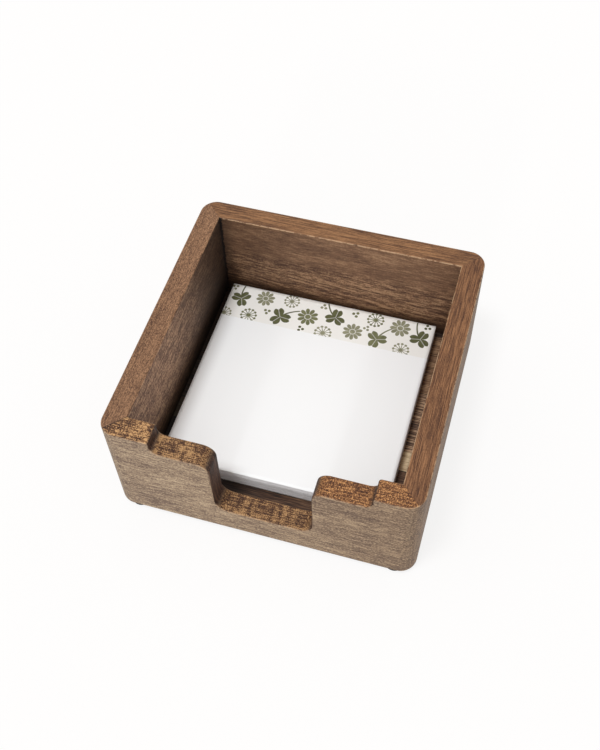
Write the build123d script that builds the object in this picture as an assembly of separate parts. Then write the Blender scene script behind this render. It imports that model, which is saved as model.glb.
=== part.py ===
"""Open wooden memo pad holder: a mitred box of four walls with a stepped thumb cut-out
in the front wall, a floor of three edge-glued boards, four rubber feet, and a memo pad
whose top sheet turns up at its gummed back edge.

Millimetres. +Z is up, +Y is towards the back wall, and the cut-out is in the front wall
at -Y. The origin is on the table under the middle of the box, between the feet.
"""
from build123d import *

import os

# ---- the box: its inside is the sheets' size and some room, its outside adds the walls ----
sheet_side = 101.6            # square memo sheets: 4 in
room_side = 11.75             # inside width left over by the pad, both sides together
room_end = 11.75              # inside depth left over by the pad, both ends together
wall_height = 57.15           # of the wood, without the feet: 2 1/4 in
wall = 10.0                   # thickness of all four walls
corner_radius = 7.4           # of the box's upright outside corners
edge_round = 0.8              # sanded round-over on the rim, the cut-out and the base

# ---- cut-out in the front wall, two levels: a wide shallow step, and a thumb notch ----
cutout_shift = 1.5            # the cut-out's middle is this far to the right of the box's
horn_width = 20.825           # from the box's side to the step, if the cut-out were central
step_drop = 7.15              # from the rim down to the shoulders
notch_width = 42.5
notch_height = 15.2           # of the notch's floor, above the wood's base
horn_radius = 1.3             # where the rim turns down into the step
step_foot_radius = 3.8        # where the step's side meets a shoulder
shoulder_radius = 5.8         # where a shoulder turns down into the notch
notch_foot_radius = 6.0       # where the notch's side meets its floor

# ---- floor panel: three boards glued edge to edge, let into a groove in the walls ----
floor_thickness = 5.0
floor_recess = 1.4            # underside of the floor above the wood's base
groove_depth = 4.0
groove_play = 0.4             # room for the wood to swell, all round in the groove
front_board_width = 37.6
middle_board_width = 42.7     # the back board takes what is left

# ---- feet: round rubber discs under the corners ----
foot_diameter = 9.0
foot_thickness = 2.0
foot_edge_round = 0.5
foot_side_inset = 9.0         # foot centre from the box's left or right face
foot_end_inset = 5.0          # foot centre from the box's front or back face

# ---- memo pad, lying loose on the floor ----
backing_thickness = 0.7       # grey board under the sheets
block_thickness = 7.8         # the sheets under the top one
top_sheet_thickness = 0.12
gum_thickness = 0.3           # film of padding glue down the pad's back edge
gum_drop = 0.1                # the glue stops this far short of the top sheet
pad_gap_left = 4.775          # from the left wall to the sheets
pad_gap_back = 3.075          # from the back wall to the sheets

# ---- heights and places worked out from the above ----
inner_width = sheet_side + room_side
inner_depth = sheet_side + room_end
box_width = inner_width + 2 * wall       # 133.35 mm: 5 1/4 in
box_depth = inner_depth + 2 * wall
base_z = foot_thickness
rim_z = base_z + wall_height
floor_z = base_z + floor_recess
floor_top_z = floor_z + floor_thickness
step_width = box_width - 2 * horn_width
step_z = rim_z - step_drop
notch_z = base_z + notch_height
backing_top_z = floor_top_z + backing_thickness
block_top_z = backing_top_z + block_thickness
past = 1.0                    # how far a cutting solid runs past the face it cuts
tiny = 1e-4                   # two places this near are the same place


def slab(x0, x1, y0, y1, z0, z1):
    """A plain block between two corners."""
    return Pos((x0 + x1) / 2, (y0 + y1) / 2, (z0 + z1) / 2) * Box(x1 - x0, y1 - y0, z1 - z0)


def cutout_tool():
    """The front wall's cut-out as a solid: its stepped outline, with every corner an arc,
    carried through the wall."""
    a = step_width / 2
    b = notch_width / 2
    lead = 2 * horn_radius    # the outline starts on the rim, this far outside the step
    left = [(-a - lead, rim_z), (-a, rim_z), (-a, step_z), (-b, step_z), (-b, notch_z)]
    right = [(-x, z) for x, z in reversed(left)]
    radii = [horn_radius, step_foot_radius, shoulder_radius, notch_foot_radius]
    outline = FilletPolyline(*left, *right, radius=radii + radii[::-1])
    above = rim_z + wall
    lid = Polyline((a + lead, rim_z), (a + lead, above), (-a - lead, above), (-a - lead, rim_z))
    face = make_face(outline.edges() + lid.edges())
    upright = Plane((cutout_shift, -box_depth / 2 - past, 0), x_dir=(1, 0, 0), z_dir=(0, -1, 0))
    return extrude(upright * face, -(wall + 2 * past))


def is_corner_seam(edge):
    """True for the upright lines where a flat outer face runs into a rounded corner."""
    middle = edge @ 0.5
    flat_x = box_width / 2 - corner_radius
    flat_y = box_depth / 2 - corner_radius
    upright = abs((edge % 0.5).Z) > 1 - tiny
    on_side = abs(abs(middle.X) - box_width / 2) < tiny and abs(abs(middle.Y) - flat_y) < tiny
    on_end = abs(abs(middle.Y) - box_depth / 2) < tiny and abs(abs(middle.X) - flat_x) < tiny
    return upright and (on_side or on_end)


def outer_edges(frame):
    """Edges of the outer skin that are rounded over: rim, cut-out and base."""
    skin = Pos(0, 0, rim_z / 2) * extrude(
        RectangleRounded(box_width, box_depth, corner_radius), rim_z, both=True
    )
    skin_faces = [f for f in skin.faces() if abs(f.normal_at().Z) < 0.5]

    def on_skin(edge):
        return any(
            all(f.distance_to(edge @ t) < tiny for t in (0, 0.5, 1)) for f in skin_faces
        )

    return [e for e in frame.edges() if on_skin(e) and not is_corner_seam(e)]


def inner_edges(frame):
    """Edges of the inner skin that are rounded over: the rim and the cut-out."""
    half_x, half_y = inner_width / 2, inner_depth / 2

    def on_inner(edge):
        points = [edge @ t for t in (0, 0.5, 1)]
        on_x = all(abs(abs(p.X) - half_x) < tiny and abs(p.Y) < half_y + tiny for p in points)
        on_y = all(abs(abs(p.Y) - half_y) < tiny and abs(p.X) < half_x + tiny for p in points)
        upright_corner = all(
            abs(abs(p.X) - half_x) < tiny and abs(abs(p.Y) - half_y) < tiny for p in points
        )
        high = all(p.Z > notch_z - tiny for p in points)
        return (on_x or on_y) and high and not upright_corner

    return [e for e in frame.edges() if on_inner(e)]


def box_frame():
    """The four walls in one, before they are parted at the mitres."""
    outside = RectangleRounded(box_width, box_depth, corner_radius)
    frame = Pos(0, 0, base_z) * extrude(outside, wall_height)
    frame -= slab(
        -inner_width / 2, inner_width / 2, -inner_depth / 2, inner_depth / 2,
        base_z - past, rim_z + past,
    )
    frame -= cutout_tool()
    frame = fillet(outer_edges(frame), edge_round)
    frame = fillet(inner_edges(frame), edge_round)
    groove_x = inner_width / 2 + groove_depth
    groove_y = inner_depth / 2 + groove_depth
    return frame - slab(-groove_x, groove_x, -groove_y, groove_y, floor_z, floor_top_z)


def mitre_wedge(side):
    """All the space that belongs to one wall: a trapezium in plan whose slanted sides are
    the two mitres, from the outside corners to the inside corners and a little further."""
    x, y = box_width / 2, box_depth / 2
    inward = 2 * wall
    corners = [(-x - past, -y - past), (x + past, -y - past)]
    corners += [(x - inward, -y + inward), (-x + inward, -y + inward)]
    if side in ("left", "right"):
        corners = [(-x - past, y + past), (-x - past, -y - past)]
        corners += [(-x + inward, -y + inward), (-x + inward, y - inward)]
    plan = make_face(Polyline(*corners, close=True).edges())
    wedge = extrude(plan, rim_z + past)
    if side in ("back", "right"):
        wedge = Rot(0, 0, 180) * wedge
    return wedge


def walls():
    """The front, back, left and right walls, mitred at the corners."""
    frame = box_frame()
    return {f"{side}_wall": frame & mitre_wedge(side) for side in ("front", "back", "left", "right")}


def floor_boards():
    """Three boards with the grain across the box, glued edge to edge."""
    reach_x = inner_width / 2 + groove_depth - groove_play
    reach_y = inner_depth / 2 + groove_depth - groove_play
    front_joint = -reach_y + front_board_width
    back_joint = front_joint + middle_board_width
    spans = {
        "floor_board_front": (-reach_y, front_joint),
        "floor_board_middle": (front_joint, back_joint),
        "floor_board_back": (back_joint, reach_y),
    }
    return {
        name: slab(-reach_x, reach_x, y0, y1, floor_z, floor_top_z)
        for name, (y0, y1) in spans.items()
    }


def feet():
    """Round rubber discs with a rounded lower edge, stuck under the walls."""
    disc = Pos(0, 0, foot_thickness / 2) * Cylinder(foot_diameter / 2, foot_thickness)
    disc = fillet(disc.edges().sort_by(Axis.Z)[0], foot_edge_round)
    x = box_width / 2 - foot_side_inset
    y = box_depth / 2 - foot_end_inset
    places = {
        "foot_front_left": (-x, -y), "foot_front_right": (x, -y),
        "foot_back_left": (-x, y), "foot_back_right": (x, y),
    }
    return {name: Pos(px, py, 0) * disc for name, (px, py) in places.items()}


def memo_pad():
    """Backing board, block of sheets, top sheet, and the film of glue on the back edge."""
    x0 = pad_gap_left - inner_width / 2
    x1 = x0 + sheet_side
    y1 = inner_depth / 2 - pad_gap_back
    y0 = y1 - sheet_side
    top_z = block_top_z + top_sheet_thickness
    return {
        "pad_backing_board": slab(x0, x1, y0, y1, floor_top_z, backing_top_z),
        "pad_sheet_block": slab(x0, x1, y0, y1, backing_top_z, block_top_z),
        "pad_top_sheet": slab(x0, x1, y0, y1, block_top_z, top_z),
        "pad_gum_strip": slab(
            x0, x1, y1, y1 + gum_thickness, floor_top_z, block_top_z - gum_drop
        ),
    }


parts = {**walls(), **floor_boards(), **feet(), **memo_pad()}

os.makedirs("parts", exist_ok=True)
for name, solid in parts.items():
    solid.label = name
    export_step(solid, f"parts/{name}.step")
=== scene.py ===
"""Looks of an open wooden memo pad holder and of the pad of square sheets in it.

The walls, floor boards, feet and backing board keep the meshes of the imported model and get
their finish here. What is paper or glue is made here: the block of cut sheets, the printed
top sheet and the film of padding glue. Lengths are in metres, +Z is up and +Y is towards
the back wall.
"""

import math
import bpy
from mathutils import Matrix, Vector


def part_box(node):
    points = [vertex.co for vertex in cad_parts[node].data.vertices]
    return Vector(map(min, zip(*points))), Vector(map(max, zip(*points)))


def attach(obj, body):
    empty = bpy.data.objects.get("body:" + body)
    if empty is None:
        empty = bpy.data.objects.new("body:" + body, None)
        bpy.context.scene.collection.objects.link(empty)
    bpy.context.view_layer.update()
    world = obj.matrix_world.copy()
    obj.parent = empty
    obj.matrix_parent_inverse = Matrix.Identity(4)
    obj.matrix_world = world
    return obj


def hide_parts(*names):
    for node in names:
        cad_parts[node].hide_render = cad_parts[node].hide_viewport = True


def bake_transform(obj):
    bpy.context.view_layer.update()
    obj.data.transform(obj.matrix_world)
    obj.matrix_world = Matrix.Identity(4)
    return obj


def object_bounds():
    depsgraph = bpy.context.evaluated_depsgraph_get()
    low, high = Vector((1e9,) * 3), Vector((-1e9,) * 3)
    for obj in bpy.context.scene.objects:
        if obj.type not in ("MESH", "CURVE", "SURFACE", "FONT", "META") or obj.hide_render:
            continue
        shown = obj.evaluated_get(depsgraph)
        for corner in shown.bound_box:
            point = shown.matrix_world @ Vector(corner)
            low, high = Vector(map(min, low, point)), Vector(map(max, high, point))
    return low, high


bl_info = {
    "name": "Memo Pad Holder",
    "version": (1, 0, 0),
    "blender": (4, 5, 0),
    "location": "3D View > Sidebar > Memo Holder",
    "description": "Wood, paper and studio light for an open memo pad holder",
    "category": "Object",
}

import bpy
import numpy as np
from bpy.props import FloatProperty, FloatVectorProperty, IntProperty, PointerProperty
from bpy.types import Operator, Panel, PropertyGroup
from mathutils import Quaternion, Vector

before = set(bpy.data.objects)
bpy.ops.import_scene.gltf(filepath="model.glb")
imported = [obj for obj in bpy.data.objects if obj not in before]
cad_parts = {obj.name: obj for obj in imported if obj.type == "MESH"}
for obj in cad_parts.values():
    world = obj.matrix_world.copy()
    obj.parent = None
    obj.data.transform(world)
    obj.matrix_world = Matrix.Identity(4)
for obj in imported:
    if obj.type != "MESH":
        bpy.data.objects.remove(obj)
cad_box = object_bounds()

MM = 0.001
STACK_SEED = 5
STACK_SIDE_POINTS = 12  # points on each side of a sheet's outline in the block
GLUED_SHARE = 0.15      # how much a sheet may stray at the glued edge
SHEET_POINTS = 65       # points along each side of the top sheet
GUM_STROKES = 6         # brush marks along the film of glue
GUM_POINTS = (120, 14)  # points along the film of glue and up it

# ---- places taken from the frame ----
rim_z = cad_box[1].z
inner_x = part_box("right_wall")[0].x    # inner faces of the right and left walls
inner_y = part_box("back_wall")[0].y     # inner faces of the back and front walls
floor_top_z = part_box("floor_board_front")[1].z
board_joint_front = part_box("floor_board_front")[1].y
board_joint_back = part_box("floor_board_back")[0].y
block_low, block_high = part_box("pad_sheet_block")
sheet_low, sheet_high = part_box("pad_top_sheet")
gum_low, gum_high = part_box("pad_gum_strip")


def linear(screen):
    """Linear light of a colour given as a screen shows it, each part from 0 to 255."""
    parts = [value / 255 for value in screen]
    return tuple(p / 12.92 if p <= 0.04045 else ((p + 0.055) / 1.055) ** 2.4 for p in parts)


def setting(label, words, default, kind=FloatProperty, **limits):
    """A property with its name, description and default."""
    return kind(name=label, description=words, default=default, **limits)


def colour(label, words, screen):
    """A colour whose default is given as a screen shows it."""
    tone = linear(screen)
    return setting(label, words, tone, FloatVectorProperty, min=0, max=1, subtype="COLOR")


def length(label, words, millimetres):
    """A length whose default is given in millimetres."""
    return setting(label, words, millimetres * MM, min=0, precision=5, unit="LENGTH")


def angle(label, words, degrees):
    """An angle whose default is given in degrees."""
    return setting(label, words, math.radians(degrees), subtype="ANGLE")


def way(label, words, default):
    """The direction that a light goes."""
    return setting(label, words, default, FloatVectorProperty, subtype="DIRECTION")


SHADES = ("dark", "middle", "light")
# Each kind of wooden surface: its label, what it is, and its three shades.
WOOD_TONES = {
    "outer": ("Outside", "the outer faces", (98, 77, 66), (150, 128, 105), (200, 177, 147)),
    "rim": ("Rim", "the rim", (80, 51, 33), (130, 92, 61), (172, 128, 88)),
    "cut": ("Cut-out", "the sawn cut-out", (56, 33, 20), (113, 76, 48), (206, 160, 108)),
    # The end-grain tones are dark partly from the stain that end grain soaks up and partly as
    # painted shade on the cut-out's upright sides.
    "end": ("End grain", "the cut-out's sides", (34, 22, 17), (64, 43, 33), (108, 78, 60)),
    "inner": ("Inside", "the inner faces", (80, 54, 39), (127, 93, 68), (174, 136, 102)),
    "floor": ("Floor", "the floor boards", (50, 34, 25), (128, 94, 69), (190, 152, 115)),
}


class WoodColours(PropertyGroup):
    """Stained wood: the colours here, and three shades of each kind of surface."""

    outer_brown: colour("Outside, browner", "Outer faces towards an end", (112, 86, 61))
    sapwood: colour("Sapwood", "Pale band on the middle floor board", (232, 206, 166))
    joint: colour("Joint", "Shadow line of the glued joints", (26, 17, 12))
    # Paler tone of the rim's sloping edges: partly wood sanded bare, partly a painted highlight
    # where the rounded edges catch the light.
    worn: colour("Worn edge", "Wood sanded bare along the edges", (206, 170, 132))
    # Painted shade: a near-black laid on the inner walls' feet and corners and on the floor along
    # the walls, where shade falls.
    soaked: colour("Soaked", "Stain that has gathered in the inside corners", (22, 12, 9))


for kind, (label, words, *screens) in WOOD_TONES.items():
    for shade, screen in zip(SHADES, screens):
        tone = colour(f"{label}, {shade}", f"The {shade} tone of {words}", screen)
        WoodColours.__annotations__[f"{kind}_{shade}"] = tone


class WoodGrain(PropertyGroup):
    """Sizes of the wood's grain."""

    fibre_length: length("Fibre length", "Length of the fine streaks", 8.0)
    fibre_width: length("Fibre width", "Width of the fine streaks", 0.5)
    dash_length: length("Dash length", "Length of the short dark dashes", 3.8)
    dash_width: length("Dash width", "Width of the short dark dashes", 0.5)
    cloud_length: length("Cloud length", "Length of the soft changes of tone", 34.0)
    cloud_width: length("Cloud width", "Width of the soft changes of tone", 6.5)
    thread_length: length("Thread length", "Length of the finest lines", 6.0)
    thread_width: length("Thread width", "Width of the finest lines", 0.38)
    sway: length("Sway", "How far the grain lines stray from straight", 1.3)
    fleck: length("Fleck", "Size of the flecks on sawn wood", 0.37)
    patch: length("Patch", "Width of the golden bands on sawn wood", 3.2)
    # How far the painted shade in the inside corners reaches out of each corner.
    soak_depth: length("Soak depth", "How far gathered stain reaches out of a corner", 8.0)


class PadLook(PropertyGroup):
    """The sheets, their print and the glue that holds them."""

    sheets: setting("Sheets", "Sheets in the block", 75, IntProperty, min=2)
    unevenness: length("Unevenness", "How far a sheet's front edge strays", 0.05)
    curl: length("Curl", "How far the top sheet's front corners rise", 0.35)
    strip_depth: length("Printed strip", "Depth of the printed strip at the back edge", 19.8)
    paper: colour("Paper", "Uncoated white paper", (251, 251, 250))
    edges: colour("Page edges", "Cut edges of the sheets", (236, 233, 232))
    strip: colour("Strip ground", "Ground colour of the printed strip", (246, 243, 237))
    ink_dark: colour("Dark ink", "Olive of the clovers", (100, 101, 68))
    ink_middle: colour("Middle ink", "Green of the seed heads", (124, 125, 90))
    ink_light: colour("Light ink", "Grey green of the daisies", (152, 150, 122))
    board: colour("Backing board", "Grey board under the sheets", (150, 145, 136))
    gum: colour("Padding glue", "Dried glue on the back edge", (238, 236, 230))
    rubber: colour("Feet", "Black rubber of the feet", (34, 33, 33))


class StudioLook(PropertyGroup):
    """The view and the light."""

    azimuth: angle("Azimuth", "Turn of the view about the box, from straight in front", 18.39)
    elevation: angle("Elevation", "Height of the view above the horizon", 55.04)
    roll: angle("Roll", "Tilt of the view about its own line", -2.4)
    distance: length("Distance", "From the camera to what it looks at", 463.2)
    target: setting(
        "Target", "Point on the top sheet that the camera looks at",
        (-4.87 * MM, 9.32 * MM, 17.0 * MM), FloatVectorProperty, subtype="TRANSLATION",
    )
    lens: setting("Lens", "Focal length in millimetres", 48.08)
    sky: setting("Sky", "Light from all round", 0.62, min=0)
    sky_tone: setting(
        "Sky tone", "Colour of the light from all round", (1.0, 0.965, 0.93),
        FloatVectorProperty, min=0, subtype="COLOR",
    )
    lamp_tone: setting(
        "Lamp tone", "Colour of both lamps", (0.96, 1.0, 1.05),
        FloatVectorProperty, min=0, subtype="COLOR",
    )
    key: setting("Key lamp", "Light from the front left", 1.55, min=0)
    key_spread: angle("Key spread", "Apparent size of the key lamp", 14)
    key_way: way("Key direction", "Where the key lamp's light goes", (0.19, 0.27, -1))
    front: setting("Front lamp", "Low light from the front", 0.45, min=0)
    front_spread: angle("Front spread", "Apparent size of the front lamp", 7)
    front_way: way("Front direction", "Where the front lamp's light goes", (0, 1, -0.3))
    floor: colour("Floor", "Pale studio floor", (244, 239, 235))
    haze: setting(
        "White floor", "Share of plain white in what the camera sees of the floor", 0.82,
        min=0, max=1, subtype="FACTOR",
    )


def node_maker(tree):
    """A function that adds nodes to the tree."""

    def add(kind, inputs=(), **settings):
        """A new node, with its settings and what its sockets hold or are linked to."""
        node = tree.nodes.new("ShaderNode" + kind)
        for name, value in settings.items():
            setattr(node, name, value)
        for socket, value in dict(inputs).items():
            if isinstance(value, bpy.types.NodeSocket):
                tree.links.new(value, node.inputs[socket])
            else:
                node.inputs[socket].default_value = value
        return node

    return add


class Look:
    """A material under construction, with a short word for each kind of node."""

    def __init__(self, name):
        self.material = bpy.data.materials.new(name)
        self.material.use_nodes = True
        self.tree = self.material.node_tree
        self.tree.nodes.clear()
        self.add = node_maker(self.tree)
        coordinates = self.add("TexCoord")
        self.place = coordinates.outputs["Object"]
        self.facing = coordinates.outputs["Normal"]
        self.uv = coordinates.outputs["UV"]

    def weighted(self, parts):
        """0.5 and the sum of weight * (value - 0.5) over (value, weight) parts."""
        total = 0.5 - 0.5 * sum(weight for _, weight in parts)
        for value, weight in parts:
            total = self.maths("MULTIPLY_ADD", value, weight, total)
        return total

    def distance(self, first, second):
        """The distance between two points."""
        return self.add("VectorMath", {0: first, 1: second}, operation="DISTANCE").outputs["Value"]

    def maths(self, operation, *values):
        """A number worked out from others."""
        return self.add("Math", enumerate(values), operation=operation).outputs[0]

    def product(self, first, *others):
        """Numbers multiplied together."""
        for value in others:
            first = self.maths("MULTIPLY", first, value)
        return first

    def less(self, first, second):
        """The first number less the second."""
        return self.maths("SUBTRACT", first, second)

    def unsigned(self, value):
        """A number without its sign."""
        return self.maths("ABSOLUTE", value)

    def vector(self, operation, *values):
        """A vector worked out from others."""
        return self.add("VectorMath", enumerate(values), operation=operation).outputs[0]

    def parts(self, vector):
        """The X, Y and Z of a vector."""
        return self.add("SeparateXYZ", {0: vector}).outputs

    def joined(self, x, y, z):
        """A vector from its X, Y and Z."""
        return self.add("CombineXYZ", {0: x, 1: y, 2: z}).outputs[0]

    def noise(self, place, sizes, seed, detail, roughness=0.5):
        """Soft noise, about 0.5 in the middle, whose grains have these sizes along X, Y, Z."""
        scale = [1 / size for size in sizes]
        shift = (seed * 7.31, seed * 3.17, seed * 5.53)
        at = self.vector("MULTIPLY_ADD", place, scale, shift)
        inputs = {"Vector": at, "Scale": 1, "Detail": detail, "Roughness": roughness}
        return self.add("TexNoise", inputs).outputs[0]

    def rise(self, value, low, high):
        """0 below low, 1 above high, and smooth in between. Falls instead if high < low."""
        inputs = {"Value": value, "From Min": low, "From Max": high}
        if high < low:
            inputs = {"Value": value, "From Min": high, "From Max": low, "To Min": 1, "To Max": 0}
        return self.add("MapRange", inputs, interpolation_type="SMOOTHSTEP").outputs[0]

    def tones(self, value, stops):
        """A colour ramp from (position, colour) stops."""
        node = self.add("ValToRGB", {0: value})
        elements = node.color_ramp.elements
        while len(elements) < len(stops):
            elements.new(0.5)
        for element, (position, tone) in zip(elements, stops):
            element.position = position
            element.color = (*tone, 1)
        return node.outputs[0]

    def mix(self, amount, first, second):
        """Two colours mixed: the first where amount is 0 and the second where it is 1."""
        node = self.add("Mix", {0: amount}, data_type="RGBA")
        for socket, value in ((6, first), (7, second)):
            if isinstance(value, bpy.types.NodeSocket):
                self.tree.links.new(value, node.inputs[socket])
            else:
                node.inputs[socket].default_value = (*value, 1)
        return node.outputs[2]

    def finish(self, tone, roughness, height, depth, specular):
        """Closes the material with its colour, gloss and relief."""
        inputs = {"Base Color": tone, "Roughness": roughness, "Specular IOR Level": specular}
        relief = {"Height": height, "Strength": 1.0, "Distance": depth}
        inputs["Normal"] = self.add("Bump", relief).outputs[0]
        surface = self.add("BsdfPrincipled", inputs)
        self.add("OutputMaterial", {"Surface": surface.outputs[0]})
        return self.material


# ---- wood ----
# How much each grain value counts for a surface's tone.
STREAKED = {"lines": 1.0, "threads": 0.8, "specks": 0.5, "clouds": 0.3}
SPECKLED = {"specks": 1.4, "threads": 0.6, "streaks": 0.1, "clouds": 0.25}
PLAIN = {"threads": 0.5, "streaks": 0.2, "waves": 0.25, "clouds": 0.35, "specks": 0.4}
VEINED = {"veins": 1.0, "threads": 1.2, "specks": 0.9, "clouds": 0.3}
LIVELY = {"threads": 0.9, "streaks": 0.2, "waves": 0.2, "clouds": 0.3, "specks": 1.2}
OUTER_GRAIN = {"specks": 1.1, "threads": 0.7, "streaks": 0.25, "clouds": 0.4, "mottle": 0.3}
CUT_GRAIN = {"flecks": 1.8, "patches": 1.2, "threads": 1.1}
RIGHT_CUT_GRAIN = {"flecks": 1.3, "patches": 0.15, "threads": 0.8}
END_GRAIN = {"upright": 1.0, "flecks": 0.8}
CORNER_GRAIN = {"upright": 1.2, "specks": 1.2, "mottle": 0.2}

# Each wall: which way its grain runs, on which side its outer face is, the tints and grains
# of its faces and rim, and how much broader the grain is up the faces than across the rim.
# In millimetres, "dimmed" is from where to where painted shade darkens the inner face, and how
# much;
# "foot" is up to where painted shade darkens it from the floor, and how much; and veins come and go
# between the "veined" heights. "worn" is how strongly the rim's outer and inner edges show bare
# wood and a painted highlight. Other pairs are for the low and high end: painted shade in the
# inside corners, how brown the outer face gets, how the mitres show, and where one gapes.
NO_TINT = (1.0, 1.0, 1.0)
ANY_WALL = {
    "outside": NO_TINT, "inside": NO_TINT, "inner_grain": PLAIN, "broad": 1.8,
    "dimmed": (0, 50, 0.0), "foot": (24, 0.8), "veined": None,
    "browner": (0.0, 0.0), "joints": (0.0, 0.25), "gapes": None,
}
WALLS = {
    "front_wall": {
        **ANY_WALL, "along": "X", "outward": -1, "corners": (0.4, 0.4),
        "browner": (0.0, 0.5), "joints": (0.8, 0.0), "worn": (0.4, 0.3),
    },
    "back_wall": {
        **ANY_WALL, "along": "X", "outward": 1, "outside": (0.9, 0.88, 0.87),
        "rim": (0.84, 0.80, 0.77), "rim_grain": STREAKED, "inside": (0.98, 0.98, 0.98),
        "dimmed": (10, -56, 0.25), "foot": (22, 0.9), "veined": (13, 18, 35, 41),
        "corners": (0.5, 0.1), "gapes": (1.0, 0.0), "worn": (0.2, 0.65),
    },
    "left_wall": {
        **ANY_WALL, "along": "Y", "outward": -1, "outside": (1.0, 0.98, 0.97),
        "rim": (0.91, 0.95, 1.10), "rim_grain": SPECKLED,
        # On the left wall the brighter inside tint stands in for light that the inner face lacks,
        # and its darkening towards the back and its high foot are painted shade.
        "inside": (1.42, 1.49, 1.60), "inner_grain": LIVELY, "broad": 2.7,
        "dimmed": (-25, 48, 0.84), "foot": (44, 0.94), "corners": (0.0, 0.5),
        "joints": (0.8, 0.0), "gapes": (0.0, 1.0), "worn": (0.3, 0.05),
    },
    "right_wall": {
        # On the right wall the darker outside tint and the browner ends are painted shade on the
        # outer face that turns away from the key light.
        **ANY_WALL, "along": "Y", "outward": 1, "outside": (0.72, 0.67, 0.68),
        "rim": (0.79, 0.72, 0.70), "rim_grain": STREAKED, "dimmed": (0, 50, 0.2),
        "corners": (0.3, 0.4), "browner": (0.4, 0.7), "worn": (0.65, 0.65),
    },
}
CORNER_TINT = (0.72, 0.71, 0.71)
RIGHT_CUT = (20 * MM, 27 * MM)  # between these the cut-out's finish changes
RIGHT_CUT_TINT = (1.04, 0.91, 0.79)
# Floor boards: the tint, how strong the wide and the fine stripes are, whether a pale band
# runs along the front edge, and how much painted shadow darkens the board towards its left end.
BOARDS = {
    "front": ((0.42, 0.38, 0.38), 0.2, 0.7, False, 0.85),
    "middle": ((1.22, 1.30, 1.42), 0.4, 1.5, True, 0.0),
    "back": ((1.0, 1.0, 1.0), 0.3, 1.2, False, 0.0),
}
SAPWOOD_BAND = 10 * MM
PAINTED_SHADE_EDGE = (4.2 * MM, 1.5 * MM)  # from a wall: painted shade on the floor starts, and is full
DIMMED_FLOOR = (4 * MM, -21 * MM)   # between these painted shadow darkens a board towards its left end

# How much the short dark dashes darken each kind of surface, and between which grain values
# a dash sets in.
DASH_DEPTH = {"outer": 0.3, "rim": 0.08, "cut": 0.2, "end": 0.2, "inner": 0.3, "floor": 0.15}
VEINED_DASHES = 0.4
DASH_VALUES = (0.56, 0.66)
# How far a face is turned upwards or inwards where it starts to count as such, and where it
# fully does.
UPWARD = (0.45, 0.8)
INWARD = (-0.45, -0.8)

# Sizes of the noises that stay the same on every board: along the grain, across it and up.
SWAY_SIZE = (60 * MM, 14 * MM, 14 * MM)
WAVE_SIZE = (26 * MM, 2.4 * MM, 2.4 * MM)
VEIN_SIZE = (36 * MM, 1.5 * MM, 1.5 * MM)
MOTTLE_SIZE = (2.6 * MM, 1.3 * MM, 1.3 * MM)
UPRIGHT_SIZE = (0.8 * MM, 0.8 * MM, 14 * MM)
SLANT = 0.10  # fall of waves and veins towards the right
WALL_SEED, FLOOR_SEED, SEED_STEP = 3, 50, 11


def board_grain(look, grain, along, seed, broad=1.0):
    """The grain of one board as noises from 0 to 1, each about 0.5 in the middle.

    Coordinates run along the grain, across it and up, and a slow noise sways them. Threads,
    streaks, dashes and clouds are drawn out along the grain, the finest first; all but the
    clouds are broader up than across. Waves and veins are long and slant. Specks, flecks
    and mottle are nearly round, lines long and straight, and patches bands across the
    grain. Upright streaks stand on the sawn ends and rounded corners."""
    x, y, z = look.parts(look.place)
    place = look.joined(x, y, z) if along == "X" else look.joined(y, x, z)
    slow = look.noise(place, SWAY_SIZE, seed, 1)
    bend = look.maths("MULTIPLY_ADD", slow, 2 * grain.sway, -grain.sway)
    swayed = look.vector("ADD", place, look.joined(0, bend, bend))
    slanted = look.vector("ADD", swayed, look.joined(0, 0, look.product(x, SLANT)))
    thread, fibre, dash = grain.thread_width, grain.fibre_width, grain.dash_width
    cloud, fleck, patch = grain.cloud_width, grain.fleck, grain.patch
    line = (3 * grain.thread_length, 0.8 * thread, 0.75 * thread)
    speck = (2.4 * fleck, fleck, broad * fleck)
    return {
        "streaks": look.noise(swayed, (grain.fibre_length, fibre, broad * fibre), seed + 1, 3, 0.6),
        "clouds": look.noise(swayed, (grain.cloud_length, cloud, cloud), seed + 2, 2),
        "waves": look.noise(slanted, WAVE_SIZE, seed + 3, 3, 0.55),
        "dashes": look.noise(swayed, (grain.dash_length, dash, broad * dash), seed + 4, 1),
        "mottle": look.noise(place, MOTTLE_SIZE, seed + 5, 2, 0.6),
        "flecks": look.noise(place, (1.1 * fleck, 1.6 * fleck, 1.6 * fleck), seed + 6, 2, 0.65),
        "patches": look.noise(place, (patch, 3 * patch, 3 * patch), seed + 7, 2),
        "upright": look.noise(look.place, UPRIGHT_SIZE, seed + 8, 2),
        "threads": look.noise(swayed, (grain.thread_length, thread, broad * thread), seed + 9, 1),
        "specks": look.noise(place, speck, seed + 10, 2, 0.6),
        "veins": look.noise(slanted, VEIN_SIZE, seed + 11, 2),
        "lines": look.noise(place, line, seed + 12, 1),
    }


def tinted(tone, tint):
    """A tone multiplied by a tint, part by part."""
    return tuple(part * by for part, by in zip(tone, tint))


def darker(tone, light):
    """A tone with only this share of its light."""
    return tuple(part * light for part in tone)


def grain_colour(look, values, weights, colours, kind, tint=NO_TINT, dashes=None):
    """The colour of one kind of surface: the weighted grain values pick a tone from dark to
    light, the tint multiplies it, and the short dashes darken it."""
    amount = look.weighted([(values[name], weight) for name, weight in weights.items()])
    tones = [getattr(colours, f"{kind}_{shade}") for shade in SHADES]
    dark, middle, light = (tinted(tone, tint) for tone in tones)
    ground = look.tones(amount, [(0.25, dark), (0.5, middle), (0.75, light)])
    depth = DASH_DEPTH[kind] if dashes is None else dashes
    dashed = look.product(look.rise(values["dashes"], *DASH_VALUES), depth)
    return look.mix(dashed, ground, darker(dark, 0.6))


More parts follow.
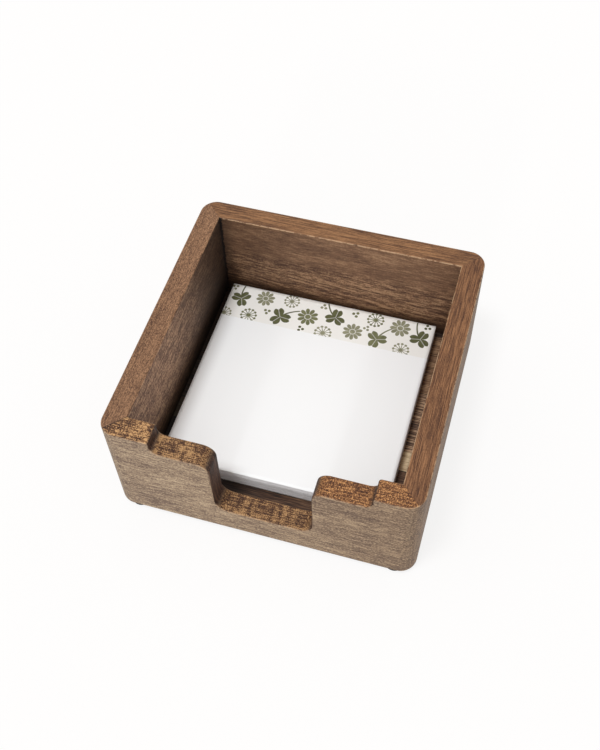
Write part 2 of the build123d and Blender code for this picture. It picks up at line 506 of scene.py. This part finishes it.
def wood_finish(look, values, tone, roughness):
    """Closes a wooden surface, with raised streaks and sunken dashes."""
    relief = look.weighted([(values["streaks"], 0.6), (values["dashes"], -0.5)])
    return look.finish(tone, roughness, relief, depth=0.1 * MM, specular=0.3)


class WallLook(Look):
    """One wall's stained wood, whose faces are told apart by which way they face."""

    def __init__(self, node, colours, grain, seed):
        super().__init__(f"{node}_wood")
        self.wall = WALLS[node]
        self.colours, self.grain = colours, grain
        self.x, self.y, self.z = self.parts(self.place)
        face_x, face_y, self.face_z = self.parts(self.facing)
        self.rounded = self.product(self.unsigned(face_x), self.unsigned(face_y))
        if self.wall["along"] == "X":
            self.across, self.along, self.reach = face_y, self.x, inner_x
        else:
            self.across, self.along, self.reach = face_x, self.y, inner_y
        self.out = self.product(self.across, self.wall["outward"])
        self.within = self.rise(self.out, *INWARD)
        self.upward = self.rise(self.face_z, *UPWARD)
        self.values = board_grain(self, grain, self.wall["along"], seed, self.wall["broad"])

    def surface(self, kind, weights, tint=NO_TINT, dashes=None):
        """The colour of one kind of surface on this wall."""
        return grain_colour(self, self.values, weights, self.colours, kind, tint, dashes)

    def between(self, ends, half):
        """From the first of ends to the second, within half of the wall's middle."""
        inputs = {"Value": self.along, "From Min": -half, "From Max": half}
        inputs |= {"To Min": ends[0], "To Max": ends[1]}
        return self.add("MapRange", inputs, clamp=True).outputs[0]

    def outer_face(self):
        """The outer face: upright streaks where it rounds the corner, browner at the ends."""
        colours = self.colours
        tone = self.surface("outer", OUTER_GRAIN, self.wall["outside"])
        corner = self.surface("outer", CORNER_GRAIN, CORNER_TINT, 0.0)
        tone = self.mix(self.product(self.rise(self.rounded, 0.1, 0.4), 0.5), tone, corner)
        brown = tuple(part / by for part, by in zip(colours.outer_brown, colours.outer_middle))
        browned = self.surface("outer", OUTER_GRAIN, brown)
        return self.mix(self.between(self.wall["browner"], self.reach), tone, browned)

    def inner_face(self):
        """The inner face: veined at some heights, and darkened by painted shade at its foot, in its
        corners and towards one end.
        """
        tint = self.wall["inside"]
        tone = self.surface("inner", self.wall["inner_grain"], tint)
        if self.wall["veined"]:
            low, full, fading, high = (height * MM for height in self.wall["veined"])
            zone = self.product(self.rise(self.z, low, full), self.rise(self.z, high, fading))
            tone = self.mix(zone, tone, self.surface("inner", VEINED, tint, VEINED_DASHES))
        return self.mix(self.soaked(), tone, self.colours.soaked)

    def soaked(self):
        """From 0 to 1 where shade is painted: at the foot of the inner face, along its
        upright corners, and towards the end that "dimmed" names."""
        height, depth = self.wall["foot"]
        foot = self.product(self.rise(self.z, height * MM, floor_top_z - 2 * MM), depth)
        start, end, amount = self.wall["dimmed"]
        dimmed = self.product(self.rise(self.along, start * MM, end * MM), amount)
        clear = self.product(self.less(1, foot), self.less(1, dimmed))
        shade_start = self.reach - self.grain.soak_depth
        for side, amount in zip((-1, 1), self.wall["corners"]):
            near = self.rise(self.along, side * shade_start, side * self.reach)
            clear = self.product(clear, self.less(1, self.product(near, amount)))
        return self.less(1, clear)

    def plain_rim(self, tone):
        """The rim of a wall without a cut-out."""
        rim = self.surface("rim", self.wall["rim_grain"], self.wall["rim"])
        return self.mix(self.upward, tone, rim)

    def sawn_cutout(self, tone):
        """The front wall's rim, shoulders and notch as the saw left them, darkened by painted shade
        where they lie deep, with end grain on the upright sides of the steps, dark from its stain
        and from painted shade."""
        # painted shade: the cut-out darkens towards the dark sawn tone where it lies deep
        sunk = self.product(self.rise(self.z, rim_z - MM, rim_z - 6 * MM), 0.26)
        sawn = self.mix(sunk, self.surface("cut", CUT_GRAIN), self.colours.cut_dark)
        right = self.surface("cut", RIGHT_CUT_GRAIN, RIGHT_CUT_TINT)
        sawn = self.mix(self.rise(self.x, *RIGHT_CUT), sawn, right)
        tone = self.mix(self.upward, tone, sawn)
        # the upright sides get the dark end-grain tones: the stain that end grain takes, and
        # painted shade
        side = self.rise(self.unsigned(self.out), 0.75, 0.45)
        steep = self.rise(self.face_z, 1.0, 0.4)
        in_cut = self.rise(self.unsigned(self.x), inner_x - 5 * MM, inner_x - 6 * MM)
        return self.mix(self.product(side, steep, in_cut), tone, self.surface("end", END_GRAIN))

    def bare_and_highlit_edges(self, tone):
        """The sloping edges of the rim, paler in places: partly wood sanded bare, partly a painted
        highlight.
        """
        slope = self.product(self.rise(self.face_z, 0.2, 0.5), self.rise(self.face_z, 0.97, 0.75))
        slope = self.product(slope, self.rise(self.unsigned(self.across), 0.2, 0.5))
        patchy = self.rise(self.values["mottle"], 0.40, 0.56)
        outer, inner = self.wall["worn"]
        worn = self.maths("MULTIPLY_ADD", self.rise(self.out, -0.1, 0.1), outer - inner, inner)
        return self.mix(self.product(slope, patchy, worn), tone, self.colours.worn)

    def mitres(self, tone):
        """Shadow lines at the mitre joints, ragged where a joint gapes inside."""
        off = self.unsigned(self.less(self.unsigned(self.x), self.unsigned(self.y)))
        line = self.rise(off, 0.32 * MM, 0.12 * MM)
        joint = self.product(line, self.between(self.wall["joints"], MM))
        if self.wall["gapes"]:
            ragged = self.maths("MULTIPLY_ADD", self.values["mottle"], 2.0 * MM, -0.35 * MM)
            gap = self.rise(self.less(off, ragged), 0.3 * MM, 0.0)
            gap = self.product(gap, self.between(self.wall["gapes"], MM), self.within)
            joint = self.maths("MAXIMUM", joint, gap)
        return self.mix(joint, tone, self.colours.joint)


def wall_finish(node, colours, grain, seed):
    """One wall's stained wood, face by face."""
    look = WallLook(node, colours, grain, seed)
    tone = look.mix(look.within, look.outer_face(), look.inner_face())
    tone = look.sawn_cutout(tone) if node == "front_wall" else look.plain_rim(tone)
    return wood_finish(look, look.values, look.mitres(look.bare_and_highlit_edges(tone)), roughness=0.62)


def floor_finish(board, colours, grain, seed):
    """One floor board's striped wood, its grain running from side to side, with painted shade
    along the walls."""
    tint, wide, fine, sapwood, dimmed = BOARDS[board]
    look = Look(f"floor_board_{board}_wood")
    x, y, _ = look.parts(look.place)
    values = board_grain(look, grain, "X", seed)
    weights = {"streaks": wide, "lines": fine, "threads": 0.8, "clouds": 0.5}
    tone = grain_colour(look, values, weights, colours, "floor", tint)
    if sapwood:
        end = board_joint_front + SAPWOOD_BAND
        band = look.rise(y, end + 0.6 * MM, end - 0.2 * MM)
        edge = tinted(colours.sapwood, (0.72, 0.66, 0.6))
        stops = [(0.3, colours.floor_middle), (0.42, edge), (0.6, colours.sapwood)]
        tone = look.mix(band, tone, look.tones(values["streaks"], stops))
    # painted shade on the floor along the side and back walls
    shade_start, full = PAINTED_SHADE_EDGE
    side = look.rise(look.unsigned(x), inner_x - shade_start, inner_x - full)
    back = look.rise(y, inner_y - shade_start, inner_y - full)
    soaked = look.product(look.maths("MAXIMUM", side, back), 0.92)
    # painted shadow towards the left end of the board
    if dimmed:
        soaked = look.maths("MAXIMUM", soaked, look.product(look.rise(x, *DIMMED_FLOOR), dimmed))
    tone = look.mix(soaked, tone, colours.soaked)
    for line in (board_joint_front, board_joint_back):
        away = look.unsigned(look.less(y, line))
        tone = look.mix(look.rise(away, 0.3 * MM, 0.1 * MM), tone, colours.joint)
    return wood_finish(look, values, tone, roughness=0.5)


# ---- paper, glue and rubber ----
# Motifs of the printed strip: kind, millimetres across the sheet and down from its back
# edge, turn in degrees, size in millimetres, and ink.
MOTIFS = (
    ("clover", 6.5, 8.0, 20, 5.2, "dark"), ("daisy", 18.0, 5.0, 0, 4.6, "light"),
    ("seeds", 13.0, 17.0, 10, 4.2, "middle"), ("clover", 28.0, 14.0, -35, 5.6, "dark"),
    ("seeds", 31.0, 3.4, 0, 4.0, "light"), ("daisy", 41.0, 10.5, 15, 5.1, "middle"),
    ("clover", 54.0, 7.5, 55, 5.4, "dark"), ("seeds", 50.5, 18.0, 20, 4.4, "light"),
    ("daisy", 64.0, 13.5, 5, 4.8, "light"), ("clover", 76.0, 15.0, -15, 5.4, "middle"),
    ("seeds", 73.0, 3.8, 5, 4.3, "middle"), ("daisy", 85.5, 5.5, 25, 5.0, "light"),
    ("clover", 96.0, 9.5, 40, 5.4, "dark"), ("seeds", 88.5, 18.0, 0, 4.2, "light"),
    ("seeds", 1.0, 18.5, 0, 3.8, "light"), ("dots", 21.0, 12.5, 0, 1.8, "middle"),
    ("dots", 47.0, 2.6, 60, 1.8, "light"), ("dots", 63.0, 3.0, 20, 1.9, "middle"),
    ("dots", 39.5, 18.3, 90, 1.8, "dark"), ("dots", 70.0, 9.8, 40, 1.7, "light"),
    ("dots", 1.6, 1.8, 10, 1.7, "light"), ("dots", 98.0, 1.8, 75, 1.8, "dark"),
)
MIDDLE = (0, 0, 0)
EDGE = (-0.02, 0.02)  # a motif fades out between these, with 1 for its size


def motif_place(look, place, across, down, turn, size):
    """Coordinates about one motif: turned, with 1 for its size."""
    centre = (across * MM, down * MM, 0)
    inputs = {"Vector": place, "Center": centre, "Angle": math.radians(turn)}
    turned = look.add("VectorRotate", inputs, rotation_type="Z_AXIS").outputs[0]
    unit = 1 / (size * MM)
    shift = tuple(-unit * part for part in centre)
    return look.vector("MULTIPLY_ADD", turned, (unit, unit, 0), shift)


def clover(look, x, y, bearing, radius):
    """1 inside three notched leaflets and 0 elsewhere: with the angle a from the nearest
    leaflet's middle, they reach cos(1.5 a) ** 0.5 less a dent at a = 0. A curved stem runs
    down from them, and a pale vein up each leaflet."""
    near = look.maths("WRAP", bearing, math.pi / 3, -math.pi / 3)
    off = look.unsigned(near)
    lobe = look.maths("POWER", look.maths("COSINE", look.product(near, 1.5)), 0.5)
    dent = look.product(look.rise(off, 0.28, 0.0), 0.2)
    leaf = look.rise(look.less(look.less(lobe, dent), radius), *EDGE)
    vein = look.rise(look.product(off, radius), 0.05, 0.02)
    leaf = look.less(leaf, look.product(vein, leaf, 0.45))
    bow = look.less(x, look.product(y, y, 0.22))
    stem = look.rise(look.unsigned(bow), 0.09, 0.05)
    span = look.product(look.rise(y, -1.75, -1.7), look.rise(y, 0.0, -0.1))
    return look.maths("MAXIMUM", leaf, look.product(stem, span))


def daisy(look, x, y, bearing, radius):
    """1 inside ten blunt petals that reach 0.55 + 0.45 |cos 5a| ** 0.6, paler between the
    petals and in a ring round the middle."""
    wave = look.unsigned(look.maths("COSINE", look.product(bearing, 5)))
    reach = look.maths("MULTIPLY_ADD", look.maths("POWER", wave, 0.6), 0.45, 0.55)
    petals = look.rise(look.less(reach, radius), *EDGE)
    split = look.product(look.rise(wave, 0.3, 0.1), look.rise(radius, 0.3, 0.45))
    ring = look.product(look.rise(radius, 0.24, 0.28), look.rise(radius, 0.36, 0.32))
    return look.less(petals, look.product(look.maths("MAXIMUM", split, ring), 0.7))


def seeds(look, x, y, bearing, radius):
    """1 on a seed head: twelve thin rays out to 0.8, a dot at the end of each, and a heart."""
    aside = look.product(look.unsigned(look.maths("SINE", look.product(bearing, 6))), 1 / 6)
    off = look.product(aside, radius)
    rays = look.product(look.rise(off, 0.05, 0.03), look.rise(radius, 0.84, 0.8))
    out = look.less(radius, 0.86)
    ends = look.rise(look.distance(look.joined(off, out, 0), MIDDLE), 0.15, 0.12)
    heart = look.rise(radius, 0.22, 0.19)
    return look.maths("MAXIMUM", look.maths("MAXIMUM", rays, ends), heart)


def dots(look, x, y, bearing, radius):
    """1 inside three round dots about a point."""
    near = look.maths("WRAP", bearing, math.pi / 3, -math.pi / 3)
    along = look.less(look.product(look.maths("COSINE", near), radius), 0.62)
    aside = look.product(look.maths("SINE", near), radius)
    return look.rise(look.distance(look.joined(along, aside, 0), MIDDLE), 0.42, 0.38)


KINDS = {"clover": clover, "daisy": daisy, "seeds": seeds, "dots": dots}


def printed_paper(name, pad):
    """White paper with a strip of print at the back edge: clovers, daisies and seed heads
    strewn in three olive inks, each washed unevenly. The UV map runs from 0 to 1 across
    the sheet and from the back edge to the front; the plain side has it beyond 1."""
    look = Look(name)
    side = sheet_high.x - sheet_low.x
    place = look.vector("MULTIPLY", look.uv, (side, side, 0))
    wash = look.rise(look.noise(place, (1.7 * MM, 1.7 * MM, 1), 3, 3), 0.3, 0.7)
    inks = {shade: getattr(pad, f"ink_{shade}") for shade in SHADES}
    washed = {shade: look.mix(wash, darker(ink, 0.72), ink) for shade, ink in inks.items()}
    strip = pad.strip
    for kind, across, down, turn, size, ink in MOTIFS:
        near = motif_place(look, place, across, down, turn, size)
        x, y, _ = look.parts(near)
        bearing = look.maths("ARCTAN2", x, y)
        mask = KINDS[kind](look, x, y, bearing, look.distance(near, MIDDLE))
        strip = look.mix(mask, strip, washed[ink])
    down_sheet = look.parts(place)[1]
    printed = look.rise(down_sheet, pad.strip_depth + 0.05 * MM, pad.strip_depth - 0.05 * MM)
    tone = look.mix(printed, pad.paper, strip)
    fibres = look.noise(look.place, (0.5 * MM,) * 3, 1, 3)
    return look.finish(tone, roughness=0.75, height=fibres, depth=0.01 * MM, specular=0.25)


def page_edges(name, pad):
    """The cut edges of the sheets: fine lines, one for each sheet, of slightly different tone."""
    look = Look(name)
    sheet = (block_high.z - block_low.z) / pad.sheets
    lines = look.noise(look.place, (25 * MM, 25 * MM, sheet), 2, 1)
    tone = look.tones(lines, [(0.3, darker(pad.edges, 0.84)), (0.55, pad.edges)])
    return look.finish(tone, roughness=0.8, height=lines, depth=0.03 * MM, specular=0.2)


def flecked(name, ground, grain_size, contrast, roughness, depth):
    """A plain material with fine flecks and a fine relief, as board, glue and rubber have."""
    look = Look(name)
    flecks = look.noise(look.place, (grain_size,) * 3, 1, 3, 0.6)
    tone = look.tones(flecks, [(0.35, darker(ground, 1 - contrast)), (0.6, ground)])
    return look.finish(tone, roughness, flecks, depth, 0.3)


# ---- surfaces ----
def new_piece(name, points, faces, body, node, materials, uv=None):
    """A mesh object from its points, shape (n, 3), and faces, that stands for a CAD node."""
    mesh = bpy.data.meshes.new(name)
    mesh.from_pydata(points.reshape(-1, 3), [], faces)
    if uv is not None:
        corners = np.empty(len(mesh.loops), np.int32)
        mesh.loops.foreach_get("vertex_index", corners)
        mesh.uv_layers.new(name="UVMap").data.foreach_set("uv", uv.reshape(-1, 2)[corners].ravel())
    for material in materials:
        mesh.materials.append(material)
    mesh.validate()
    piece = bpy.data.objects.new(name, mesh)
    bpy.context.scene.collection.objects.link(piece)
    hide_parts(node)
    if body:
        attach(piece, body)
    return piece


def grid_faces(rows, columns, first=0, turned=False):
    """Four-sided faces of a grid of points numbered row by row from first."""
    corner = first + np.arange(rows - 1)[:, None] * columns + np.arange(columns - 1)[None, :]
    faces = np.stack([corner, corner + 1, corner + 1 + columns, corner + columns], axis=-1)
    faces = faces.reshape(-1, 4)
    return faces[:, ::-1] if turned else faces


def closed_slab(lower, upper):
    """Points and faces of a thin closed slab between two grids of points, shape
    (rows, columns, 3): the upper grid, the lower one turned over, and a rim round both."""
    rows, columns = upper.shape[:2]
    count = rows * columns
    numbers = np.arange(count).reshape(rows, columns)
    rim = np.concatenate(
        [numbers[0, :-1], numbers[:-1, -1], numbers[-1, :0:-1], numbers[:0:-1, 0]]
    )
    after = np.roll(rim, -1)
    sides = np.stack([rim, rim + count, after + count, after], axis=-1)
    faces = np.concatenate(
        [grid_faces(rows, columns), grid_faces(rows, columns, count, turned=True), sides]
    )
    return np.concatenate([upper.reshape(-1, 3), lower.reshape(-1, 3)]), faces


def sheet_stack(low, high, count, stray):
    """Points and UV places of a pile of cut sheets, row by row from the lowest.

    Each sheet gives two rows, its lower and its upper edge, moved sideways by the sheet's
    own small random step, in full at the front edge and hardly at the gummed back edge."""
    rng = np.random.default_rng(STACK_SEED)
    t = np.arange(STACK_SIDE_POINTS) / STACK_SIDE_POINTS
    zero, one = np.zeros_like(t), np.ones_like(t)
    outline = np.stack(
        [np.concatenate([t, one, 1 - t, zero]), np.concatenate([zero, t, one, 1 - t])], axis=-1
    )
    size = np.array([high.x - low.x, high.y - low.y])
    flat = np.array([low.x, low.y]) + outline * size
    away = GLUED_SHARE + (1 - GLUED_SHARE) * (1 - outline[:, 1])
    steps = np.clip(rng.normal(0, stray, (count, 2)), -2 * stray, 2 * stray)
    steps = np.repeat(steps, 2, axis=0)
    levels = np.linspace(low.z, high.z, count + 1)
    heights = np.stack([levels[:-1], levels[1:]], axis=1).ravel()
    points = np.empty((2 * count, len(flat), 3))
    points[..., :2] = flat[None] + steps[:, None, :] * away[None, :, None]
    points[..., 2] = heights[:, None]
    uv = np.broadcast_to(outline * (1, -1) + (0, 1), (2 * count, len(flat), 2))
    return points, uv


def ring_faces(rows, columns):
    """Four-sided faces of rings of points stacked upwards, closed round."""
    here = np.arange(columns)
    after = np.roll(here, -1)
    row = np.arange(rows - 1)[:, None] * columns
    corners = [row + here, row + after, row + columns + after, row + columns + here]
    return np.stack(corners, axis=-1)


# ---- operators ----
def dress(node, material):
    """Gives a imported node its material; the mesh stays as it is."""
    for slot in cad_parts[node].material_slots:
        slot.material = material


class MEMO_OT_walls(Operator):
    """Stain the four mitred walls"""

    bl_idname = "memo_holder.walls"
    bl_label = "Walls"

    def execute(self, context):
        colours, grain = context.scene.memo_wood, context.scene.memo_grain
        for number, node in enumerate(WALLS):
            seed = WALL_SEED + SEED_STEP * number
            dress(node, wall_finish(node, colours, grain, seed))
        return {"FINISHED"}


class MEMO_OT_floor_boards(Operator):
    """Stain the glued floor boards"""

    bl_idname = "memo_holder.floor_boards"
    bl_label = "Floor boards"

    def execute(self, context):
        colours, grain = context.scene.memo_wood, context.scene.memo_grain
        for number, board in enumerate(BOARDS):
            seed = FLOOR_SEED + SEED_STEP * number
            dress(f"floor_board_{board}", floor_finish(board, colours, grain, seed))
        return {"FINISHED"}


class MEMO_OT_feet(Operator):
    """Give the feet their rubber"""

    bl_idname = "memo_holder.feet"
    bl_label = "Feet"

    def execute(self, context):
        rubber = flecked(
            "foot_rubber_finish", context.scene.memo_pad.rubber,
            grain_size=0.3 * MM, contrast=0.3, roughness=0.7, depth=0.02 * MM,
        )
        for end in ("front", "back"):
            for side in ("left", "right"):
                dress(f"foot_{end}_{side}", rubber)
        return {"FINISHED"}


class MEMO_OT_sheet_block(Operator):
    """Build the block of cut sheets under the top one"""

    bl_idname = "memo_holder.sheet_block"
    bl_label = "Sheet block"

    def execute(self, context):
        pad = context.scene.memo_pad
        points, uv = sheet_stack(block_low, block_high, pad.sheets, pad.unevenness)
        rows, columns = points.shape[:2]
        sides = ring_faces(rows, columns).reshape(-1, 4)
        top = np.arange(columns) + (rows - 1) * columns
        bottom = np.arange(columns)[::-1]
        faces = sides.tolist() + [top.tolist(), bottom.tolist()]
        block = new_piece(
            "sheet_block", points, faces, "memo_pad", "pad_sheet_block",
            [page_edges("page_edges", pad), printed_paper("next_sheet_print", pad)], uv,
        )
        printed = np.zeros(len(faces), np.int32)
        printed[len(sides)] = 1
        block.data.polygons.foreach_set("material_index", printed)
        return {"FINISHED"}


class MEMO_OT_top_sheet(Operator):
    """Build the printed top sheet, whose front corners curl up a little"""

    bl_idname = "memo_holder.top_sheet"
    bl_label = "Top sheet"

    def execute(self, context):
        pad = context.scene.memo_pad
        across = np.linspace(0, 1, SHEET_POINTS)[None, :]
        back = np.linspace(0, 1, SHEET_POINTS)[:, None]
        # only the front corners rise; the rest lies flat
        lift = pad.curl * (1 - back) ** 4 * (2 * across - 1) ** 4
        lower = np.empty((SHEET_POINTS, SHEET_POINTS, 3))
        lower[..., 0] = sheet_low.x + across * (sheet_high.x - sheet_low.x)
        lower[..., 1] = sheet_low.y + back * (sheet_high.y - sheet_low.y)
        lower[..., 2] = sheet_low.z + lift
        upper = lower + (0, 0, sheet_high.z - sheet_low.z)
        points, faces = closed_slab(lower, upper)
        uv = np.empty((2, SHEET_POINTS, SHEET_POINTS, 2))
        uv[..., 0] = across
        uv[..., 1] = 1 - back
        uv[1, ..., 1] += 1
        sheet = new_piece(
            "top_sheet_paper", points, faces.tolist(), None, "pad_top_sheet",
            [printed_paper("top_sheet_print", pad)], uv,
        )
        smooth = np.arange(len(faces)) < 2 * (SHEET_POINTS - 1) ** 2    # not the thin rim
        sheet.data.polygons.foreach_set("use_smooth", smooth)
        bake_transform(sheet)
        return {"FINISHED"}


class MEMO_OT_glue_and_board(Operator):
    """Build the brushed film of padding glue and finish the backing board"""

    bl_idname = "memo_holder.glue_and_board"
    bl_label = "Glue and backing board"

    def execute(self, context):
        pad = context.scene.memo_pad
        board = flecked(
            "backing_board_finish", pad.board,
            grain_size=0.5 * MM, contrast=0.25, roughness=0.85, depth=0.03 * MM,
        )
        dress("pad_backing_board", board)
        along = np.linspace(0, 1, GUM_POINTS[0])[:, None]
        up = np.linspace(0, 1, GUM_POINTS[1])[None, :]
        # the strokes wander, and leave between half and all of the film's thickness
        wave = np.sin(GUM_STROKES * math.tau * along + 2 * np.sin(5 * along + 4 * up))
        thick = (gum_high.y - gum_low.y) * (0.75 + 0.25 * wave * np.sin(math.pi * up))
        lower = np.empty((*GUM_POINTS, 3))
        lower[..., 0] = gum_low.x + along * (gum_high.x - gum_low.x)
        lower[..., 1] = gum_low.y
        lower[..., 2] = gum_low.z + up * (gum_high.z - gum_low.z)
        upper = lower.copy()
        upper[..., 1] += thick
        points, faces = closed_slab(lower, upper)
        film = flecked(
            "padding_glue_finish", pad.gum,
            grain_size=0.8 * MM, contrast=0.08, roughness=0.35, depth=0.03 * MM,
        )
        new_piece(
            "glue_film", points, faces.tolist(), "memo_pad", "pad_gum_strip",
            [film],
        )
        return {"FINISHED"}


class MEMO_OT_stage(Operator):
    """Set the camera, the lamps and the pale floor"""

    bl_idname = "memo_holder.stage"
    bl_label = "Studio"

    def execute(self, context):
        studio = context.scene.memo_studio
        camera = bpy.data.objects.new("photo_camera", bpy.data.cameras.new("photo_camera"))
        camera.data.lens = studio.lens
        across, up = studio.azimuth, studio.elevation
        level = math.cos(up)
        back = Vector((math.sin(across) * level, -math.cos(across) * level, math.sin(up)))
        camera.rotation_mode = "QUATERNION"
        upright = (-back).to_track_quat("-Z", "Y")
        camera.rotation_quaternion = upright @ Quaternion((0, 0, 1), studio.roll)
        camera.location = Vector(studio.target) + back * studio.distance
        context.scene.collection.objects.link(camera)
        context.scene.camera = camera
        lamps = (
            ("key_lamp", studio.key, studio.key_spread, studio.key_way),
            ("front_lamp", studio.front, studio.front_spread, studio.front_way),
        )
        for name, power, spread, direction in lamps:
            light = bpy.data.lights.new(name, "SUN")
            light.energy = power
            light.color = studio.lamp_tone
            light.angle = spread
            lamp = bpy.data.objects.new(name, light)
            lamp.rotation_mode = "QUATERNION"
            lamp.rotation_quaternion = Vector(direction).to_track_quat("-Z", "Y")
            context.scene.collection.objects.link(lamp)
        studio_sky(studio)
        studio_floor(studio)
        context.scene.view_settings.view_transform = "Standard"
        return {"FINISHED"}


def seen_directly(add):
    """1 for camera, glossy and transmission rays, and 0 for the light that reaches a matt
    surface."""
    path = add("LightPath").outputs
    seen = path["Is Camera Ray"]
    for kind in ("Is Glossy Ray", "Is Transmission Ray"):
        seen = add("Math", {0: seen, 1: path[kind]}, operation="MAXIMUM").outputs[0]
    return seen


def studio_sky(studio):
    """Even light from all round, seen as plain white."""
    world = bpy.data.worlds.new("studio_sky")
    world.use_nodes = True
    world.node_tree.nodes.clear()
    bpy.context.scene.world = world
    add = node_maker(world.node_tree)
    light = add("Background", {"Color": (*studio.sky_tone, 1), "Strength": studio.sky}).outputs[0]
    white = add("Background", {"Color": (1, 1, 1, 1), "Strength": 1}).outputs[0]
    mixed = add("MixShader", {0: seen_directly(add), 1: light, 2: white})
    add("OutputWorld", {"Surface": mixed.outputs[0]})


def studio_floor(studio):
    """A pale floor that keeps the object's shadow, whitened where it is seen directly."""
    corners = np.array([(-1, -1, 0), (1, -1, 0), (1, 1, 0), (-1, 1, 0)], float)
    mesh = bpy.data.meshes.new("studio_floor")
    mesh.from_pydata(corners, [], [(0, 1, 2, 3)])
    look = Look("studio_floor_finish")
    matt = look.add("BsdfDiffuse", {"Color": (*studio.floor, 1)}).outputs[0]
    white = look.add("Emission", {"Color": (1, 1, 1, 1), "Strength": 1}).outputs[0]
    amount = look.product(seen_directly(look.add), studio.haze)
    mixed = look.add("MixShader", {0: amount, 1: matt, 2: white})
    look.add("OutputMaterial", {"Surface": mixed.outputs[0]})
    mesh.materials.append(look.material)
    floor = bpy.data.objects.new("studio_floor", mesh)
    bpy.context.scene.collection.objects.link(floor)


class MEMO_PT_holder(Panel):
    """Sizes, colours and steps of the memo pad holder"""

    bl_label = "Memo Pad Holder"
    bl_idname = "MEMO_PT_holder"
    bl_space_type = "VIEW_3D"
    bl_region_type = "UI"
    bl_category = "Memo Holder"

    def draw(self, context):
        for step in STEPS:
            self.layout.operator(step.bl_idname)
        for group in GROUPS:
            box = self.layout.box()
            for name in GROUPS[group].__annotations__:
                box.prop(getattr(context.scene, group), name)


GROUPS = {
    "memo_wood": WoodColours,
    "memo_grain": WoodGrain,
    "memo_pad": PadLook,
    "memo_studio": StudioLook,
}
STEPS = (
    MEMO_OT_stage, MEMO_OT_walls, MEMO_OT_floor_boards, MEMO_OT_feet,
    MEMO_OT_sheet_block, MEMO_OT_top_sheet, MEMO_OT_glue_and_board,
)


def register():
    for kind in (*GROUPS.values(), *STEPS, MEMO_PT_holder):
        bpy.utils.register_class(kind)
    for name, group in GROUPS.items():
        setattr(bpy.types.Scene, name, PointerProperty(type=group))


def unregister():
    for name in GROUPS:
        delattr(bpy.types.Scene, name)
    for kind in reversed((*GROUPS.values(), *STEPS, MEMO_PT_holder)):
        bpy.utils.unregister_class(kind)


def main():
    """Dresses the frame and builds the new pieces."""
    register()
    bpy.ops.memo_holder.stage()
    bpy.ops.memo_holder.walls()
    bpy.ops.memo_holder.floor_boards()
    bpy.ops.memo_holder.feet()
    bpy.ops.memo_holder.sheet_block()
    bpy.ops.memo_holder.top_sheet()
    bpy.ops.memo_holder.glue_and_board()
    bpy.context.view_layer.update()


if __name__ == "__main__":
    main()
